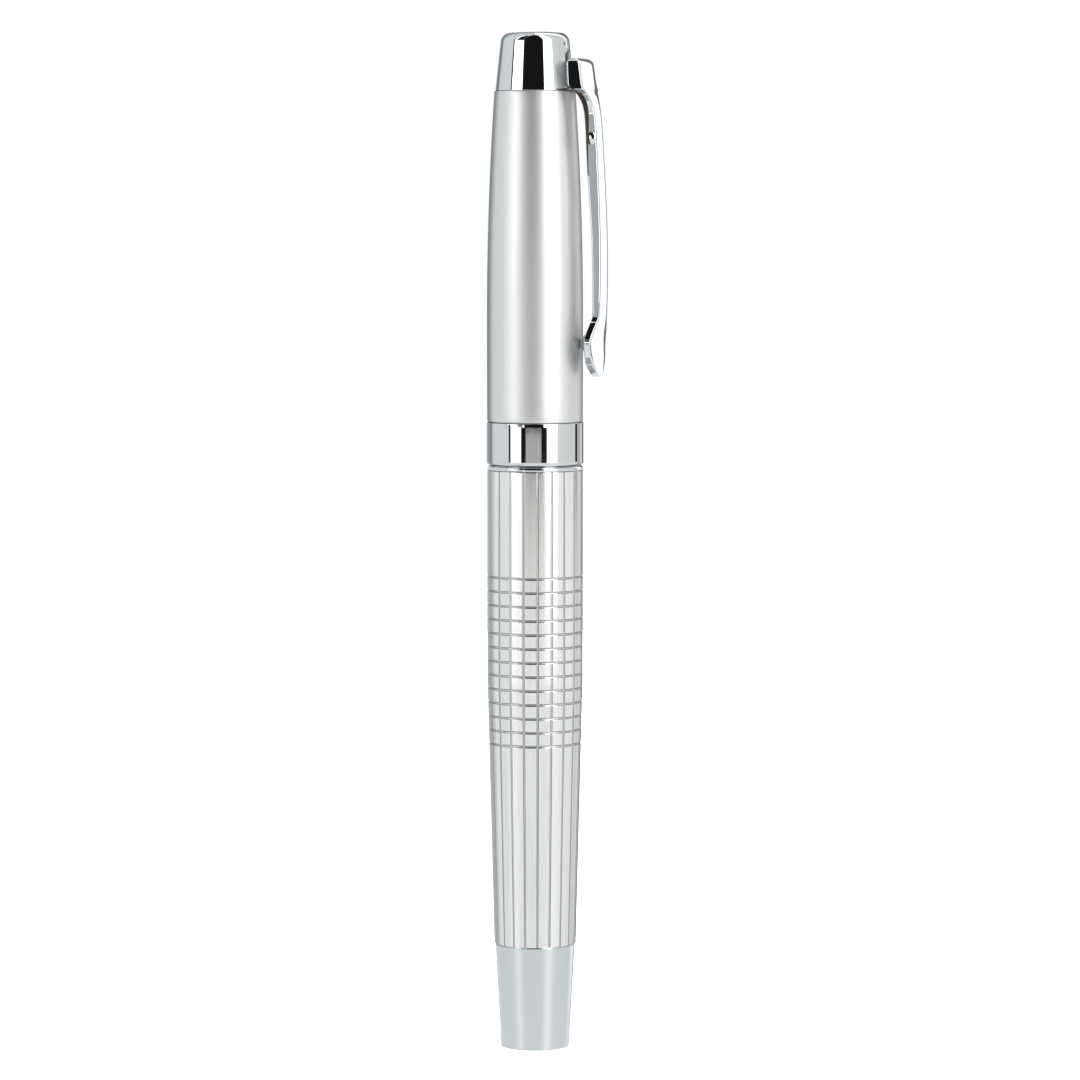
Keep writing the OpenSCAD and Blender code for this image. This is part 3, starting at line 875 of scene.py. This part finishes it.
def build_grip():
    low, high = node_box("grip_section")
    root_z, top_z = low[2], high[2]
    bore, snap_z, waist_z, flare_z = 4.2, 79.9, 84.45, 102.75
    outline = [
        (bore, root_z),
        (5.35, root_z),
        (5.35, snap_z),
        (5.0, snap_z),
        (5.0, snap_z + 1),
        (5.35, snap_z + 1),
        (5.35, waist_z),
    ]
    waist = curve_through([(waist_z, 5.35), (91.45, 5.05), (98.45, 4.75), (flare_z, 4.85)])
    steps = 24
    for i in range(1, steps + 1):
        z = waist_z + (flare_z - waist_z) * i / steps
        outline.append((waist(z), z))
    outline += [(4.75, top_z - 0.4), (4.6, top_z), (bore, top_z)]
    mesh = lathe_mesh("Grip", fillet(outline, {"rest": 0.12}))
    soften(piece("Grip", mesh, "section", "grip_resin", "grip_section"))


def build_nose():
    low, high = node_box("nose_cone")
    flange_z = node_box("grip_section")[1][2] + 0.02
    base, top = low[2], high[2]
    turned_piece(
        "Nose",
        [
            (3.2, base),
            (4.18, base),
            (4.18, flange_z),
            (4.3, flange_z),
            (4.6, flange_z + 0.3),
            (4.35, 106.65),
            (2.05, top - 0.6),
            (1.75, top),
            (1.22, top),
            (1.22, 114.3),
            (2.05, 114.3),
            (2.05, 109.15),
            (3.2, 109.15),
        ],
        {4: 0.15, 5: 1.2, 6: 0.25, 7: 0.2, "rest": 0.04},
        "section", "polished_chrome", "nose_cone",
    )


# Cap ----------------------------------------------------------------------------------------------

def cap_radius(height):
    """The cap's slightly barrel-shaped outline."""
    widest_z, widest_r = 97.95, 6.43
    bow = 450 if height > widest_z else 3150
    return widest_r - (height - widest_z) ** 2 / (2 * bow)


def build_cap_shell():
    low, high = node_box("cap_shell")
    base, top = low[2], high[2]
    wall, steps = 0.45, 40
    outer = []
    for i in range(steps + 1):
        z = base + (top - base) * i / steps
        outer.append((cap_radius(z), z))
    inner = [(radius - wall, z) for radius, z in reversed(outer)]
    corners = {0: 0.22, steps: 0.14, "rest": 0.0}
    mesh = lathe_mesh("Cap_shell", fillet(outer + inner, corners))
    soften(piece("Cap_shell", mesh, "cap", "satin_silver", "cap_shell"))


def build_cap_band():
    low, high = node_box("cap_band")
    base, top = low[2], high[2]
    root_z = node_box("cap_shell")[0][2]
    outer, steps = high[0], 12
    face = []
    for i in range(steps + 1):
        face.append((outer, base + 0.02 + (root_z - base - 0.06) * i / steps))
    outline = [(5.6, base)] + face + [(5.93, root_z - 0.02), (5.93, top), (5.6, top)]
    corners = {1: 0.32, 1 + steps: 0.12, "rest": 0.0}
    mesh = lathe_mesh("Cap_band", fillet(outline, corners))
    soften(piece("Cap_band", mesh, "cap", "polished_chrome", "cap_band", finish="band_chrome"))


def build_finial():
    low, high = node_box("finial")
    base_z = node_box("cap_shell")[1][2] + 0.02
    lowered, dome, edge_r, wall_top_r = 0.3, 0.15, 1.25, 4.58
    top = high[2] - lowered
    edge_x = wall_top_r - edge_r
    edge_z = top - dome - edge_r
    outline = [(0, low[2]), (4.92, low[2]), (4.92, base_z), (5.22, base_z), (5.28, base_z + 0.06)]
    rounding = 14
    for i in range(rounding + 1):
        angle = math.radians(5 + 83 * i / rounding)
        outline.append((edge_x + edge_r * math.cos(angle), edge_z + edge_r * math.sin(angle)))
    outline += [(2.0, top - 0.05), (0, top)]
    solid = lathe_mesh("Finial", outline)
    made = piece("Finial", solid, "cap", "polished_chrome", "finial", finish="finial_chrome")
    cut_window(made, (1.4, 6.5), 1.3, (129.2, 131.6))
    soften(made)


def block_mesh(name, xs, half, zs, bevel=0.0):
    """A block that lies evenly on both sides of the plane through the axis and the clip."""
    shape = bmesh.new()
    bmesh.ops.create_cube(shape, size=1)
    size = Vector((xs[1] - xs[0], 2 * half, zs[1] - zs[0])) * MM
    middle = Vector(((xs[0] + xs[1]) / 2, 0, (zs[0] + zs[1]) / 2)) * MM
    place = Matrix.Translation(middle) @ Matrix.Diagonal((*size, 1))
    bmesh.ops.transform(shape, matrix=place, verts=shape.verts)
    if bevel:
        edges = shape.edges[:]
        bmesh.ops.bevel(shape, geom=edges, offset=bevel * MM, segments=3, affect="EDGES", profile=0.5)
    mesh = bpy.data.meshes.new(name)
    shape.to_mesh(mesh)
    shape.free()
    return mesh


def cut_window(target, xs, half, zs):
    """Cut the slot that the clip's tongue passes through."""
    mesh = block_mesh("Window_cutter", xs, half, zs)
    cutter = bpy.data.objects.new("Window_cutter", mesh)
    bpy.context.collection.objects.link(cutter)
    cutting = target.modifiers.new("Window", "BOOLEAN")
    cutting.operation = "DIFFERENCE"
    cutting.solver = "EXACT"
    cutting.object = cutter
    evaluated = target.evaluated_get(bpy.context.evaluated_depsgraph_get())
    result = bpy.data.meshes.new_from_object(evaluated)
    target.modifiers.remove(cutting)
    bpy.data.objects.remove(cutter)
    target.data = result


# Clip by height: distance of its outer face from the axis, half its width, distance of its cap side
# from the axis, and the rounding of its edges on the cap side
CLIP_CREST = [
    (90.35, 9.25), (91.45, 9.16), (92.8, 9.08), (94.0, 8.99), (94.65, 8.98), (95.8, 9.12),
    (96.8, 9.33), (97.75, 9.52), (98.5, 9.61), (100.45, 9.69), (104.45, 9.74), (109.15, 9.7),
    (113.15, 9.57), (117.15, 9.38), (121.15, 9.17), (124.65, 8.92), (125.95, 8.74), (127.35, 8.38),
    (128.65, 7.88), (129.35, 7.72), (130.65, 7.53), (132.05, 7.34), (132.55, 7.28),
]
CLIP_HALF = [
    (90.35, 0.05), (90.41, 0.35), (90.65, 0.95), (91.05, 1.6), (91.65, 2.25), (92.35, 2.8),
    (93.15, 3.22), (94.05, 3.5), (94.75, 3.6), (95.05, 3.58), (95.7, 3.38), (96.65, 2.88),
    (97.5, 2.36), (98.05, 1.98), (98.3, 1.9), (100.45, 1.88), (104.45, 1.86), (109.15, 1.82),
    (117.45, 1.72), (121.45, 1.66), (125.2, 1.6), (126.05, 1.7), (126.75, 1.92), (127.4, 2.26),
    (127.88, 2.62), (128.22, 3.05), (128.38, 3.42), (128.44, 3.463), (128.48, 3.462), (129.0, 3.444),
    (132.05, 3.34), (132.55, 3.32),
]
CLIP_EDGE = [
    (90.35, 8.2), (91.25, 8.02), (92.35, 7.88), (93.45, 7.88), (94.65, 7.97), (95.55, 8.0),
    (96.65, 8.2), (97.45, 8.4), (98.25, 8.54), (100.45, 8.55), (105.05, 8.5), (109.15, 8.37),
    (113.15, 8.1), (117.15, 7.82), (121.15, 7.52), (124.65, 7.2), (125.95, 7.0), (127.35, 6.6),
    (128.35, 6.05), (129.15, 5.55), (132.05, 5.38), (132.55, 5.36),
]
CLIP_INNER_ROUNDING = [
    (90.35, 0.2), (93.6, 0.2), (94.6, 0.07), (98.3, 0.07), (99.2, 0.2), (117, 0.22),
    (120.5, 0.4), (123.5, 0.75), (126.5, 1.0), (128.1, 1.1), (128.7, 0.4), (129.0, 0.25),
    (132.55, 0.25),
]
CLIP_CROWN = 16 / 1.8                   # the crown's radius over the half width
CLIP_TOP_EDGE = 0.8
CLIP_CORNER = 0.17                      # rounding of the outer face's edges
TONGUE_X = (1.75, 6.4)
TONGUE_HALF = 1.2
TONGUE_Z = (129.62, 131.2)
# Heights where the clip's cap-side rounding gets the painted dark reflection
NECK_Z = (117, 128.8)


def clip_section(crest, half, edge, rounding, inset):
    """One slice of the clip: a crowned outer face, side walls, and a nearly flat back."""
    half = max(half - inset, 0.02)
    outer_at = lambda y: crest - inset - y * y / (2 * CLIP_CROWN * half)
    back = min(edge + inset * 0.6, outer_at(half) - 0.1)
    corner = min(CLIP_CORNER, 0.45 * half, 0.4 * (outer_at(half) - back))
    points = []
    steps = 12
    for i in range(steps + 1):
        y = (half - corner) * (2 * i / steps - 1)
        points.append((outer_at(y), y))
    for i in range(1, 6):
        angle = math.radians(90 * i / 5)
        x = outer_at(half) - corner * (1 - math.cos(angle))
        points.append((x, half - corner * (1 - math.sin(angle))))
    small = min(rounding, 0.7 * (outer_at(half) - back - corner), 0.8 * half)
    for i in range(6):
        angle = math.radians(90 * i / 5)
        points.append((back + small * (1 - math.sin(angle)), half - small * (1 - math.cos(angle))))
    side = points[steps + 1:]
    for i in range(1, 4):
        points.append((back, (half - small) * (1 - 2 * i / 4)))
    points += [(x, -y) for x, y in reversed(side)]
    return points


def clip_blade_mesh():
    crest, half, edge = (curve_through(table) for table in (CLIP_CREST, CLIP_HALF, CLIP_EDGE))
    rounding = curve_through(CLIP_INNER_ROUNDING)
    bottom, top = CLIP_CREST[0][0], CLIP_CREST[-1][0]
    rows = []
    count = 320
    for i in range(count + 1):
        share = i / count
        eased = share - 0.12 * math.sin(TURN * share) / TURN * 2
        z = bottom + (top - CLIP_TOP_EDGE - bottom) * eased
        rows.append((z, 0.0))
    for i in range(1, 9):
        angle = math.radians(90 * i / 8)
        below = CLIP_TOP_EDGE * (1 - math.sin(angle))
        inset = CLIP_TOP_EDGE * (1 - math.cos(angle))
        rows.append((top - below, inset))
    shape = bmesh.new()
    slices = []
    for z, inset in rows:
        points = clip_section(crest(z), half(z), edge(z), rounding(z), inset)
        slices.append([shape.verts.new((x * MM, y * MM, z * MM)) for x, y in points])
    for here, there in zip(slices, slices[1:]):
        for i in range(len(here)):
            j = (i + 1) % len(here)
            shape.faces.new((here[i], here[j], there[j], there[i]))
    shape.faces.new(slices[0])
    shape.faces.new(slices[-1])
    bmesh.ops.recalc_face_normals(shape, faces=shape.faces)
    mesh = bpy.data.meshes.new("Clip_blade")
    shape.to_mesh(mesh)
    shape.free()
    return mesh


def domed_disc_mesh(name, centre, radius, height, side):
    """An upright oval boss that stands out from the blade's side wall."""
    outline = [(0, -0.5), (radius, -0.5), (radius, 0)]
    for i in range(1, 13):
        angle = math.radians(90 * i / 12)
        outline.append((radius * math.cos(angle), height * math.sin(angle)))
    outline[-1] = (0, height)
    mesh = lathe_mesh(name, outline, 48)
    turn = Matrix.Rotation(-side * math.pi / 2, 4, "X")
    taller = Matrix.Diagonal((1, 1, 1.4, 1))
    mesh.transform(Matrix.Translation(Vector(centre) * MM) @ taller @ turn)
    return mesh


def foot_mesh():
    """The bead under the clip's leaf that rests on the cap."""
    centre_x, centre_z = 8, 94.75
    reach = centre_x - cap_radius(centre_z) - 0.05
    outline = []
    for i in range(13):
        angle = math.radians(90 * i / 12)
        outline.append((reach * math.sin(angle), -reach * math.cos(angle)))
    outline += [(reach, 0.3), (0, 0.3)]
    mesh = lathe_mesh("Clip_foot", outline, 48)
    turn = Matrix.Rotation(math.pi / 2, 4, "Y")
    mesh.transform(Matrix.Translation(Vector((centre_x, 0, centre_z)) * MM) @ turn)
    return mesh


def build_clip():
    boss_x, boss_y, boss_z, boss_r = 8.38, 1.62, 122.0, 0.64
    parts = [
        clip_blade_mesh(),
        domed_disc_mesh("Boss_a", (boss_x, boss_y, boss_z), boss_r, 0.1, 1),
        domed_disc_mesh("Boss_b", (boss_x, -boss_y, boss_z), boss_r, 0.3, -1),
        foot_mesh(),
        block_mesh("Clip_tongue", TONGUE_X, TONGUE_HALF, TONGUE_Z, bevel=0.15),
    ]
    mesh = join_meshes("Clip", parts)
    clip = piece("Clip", mesh, "clip", "polished_chrome", "clip")
    mesh.materials.append(MATERIALS["clip_back"])
    mesh.materials.append(MATERIALS["clip_painted_dark_reflection"])
    # Slot 2 is the painted dark reflection on the cap-side rounding at the neck
    back, painted_dark_slot = 1, 2
    walls = []
    for face in mesh.polygons:
        if abs(face.normal.y) > 0.75 and face.area > 0.05 * MM * MM:
            walls.append(face.index)
        at_neck = NECK_Z[0] * MM < face.center.z < NECK_Z[1] * MM
        if face.normal.x < -0.8:
            face.material_index = back
        elif face.normal.x < -0.1 and at_neck:
            face.material_index = painted_dark_slot
    soften(clip, walls)


# Everything ---------------------------------------------------------------------------------------

MATERIALS = build_materials()


def dress_cad_nodes():
    """Give every carried-over CAD node its procedural material."""
    slots = {part["node"]: part["material_slot"] for part in frame["record"]["subparts"]}
    for name, cad_object in frame["nodes"].items():
        mesh = cad_object.data
        mesh.materials.clear()
        mesh.materials.append(MATERIALS[slots[name]])


build_barrel()
build_tail()
build_bush()
build_trim_ring()
build_coupler()
build_grip()
build_nose()
build_cap_shell()
build_cap_band()
build_finial()
build_clip()
dress_cad_nodes()
build_studio()
build_floor()
build_lights()
build_camera()
bpy.context.scene.view_settings.view_transform = "Standard"
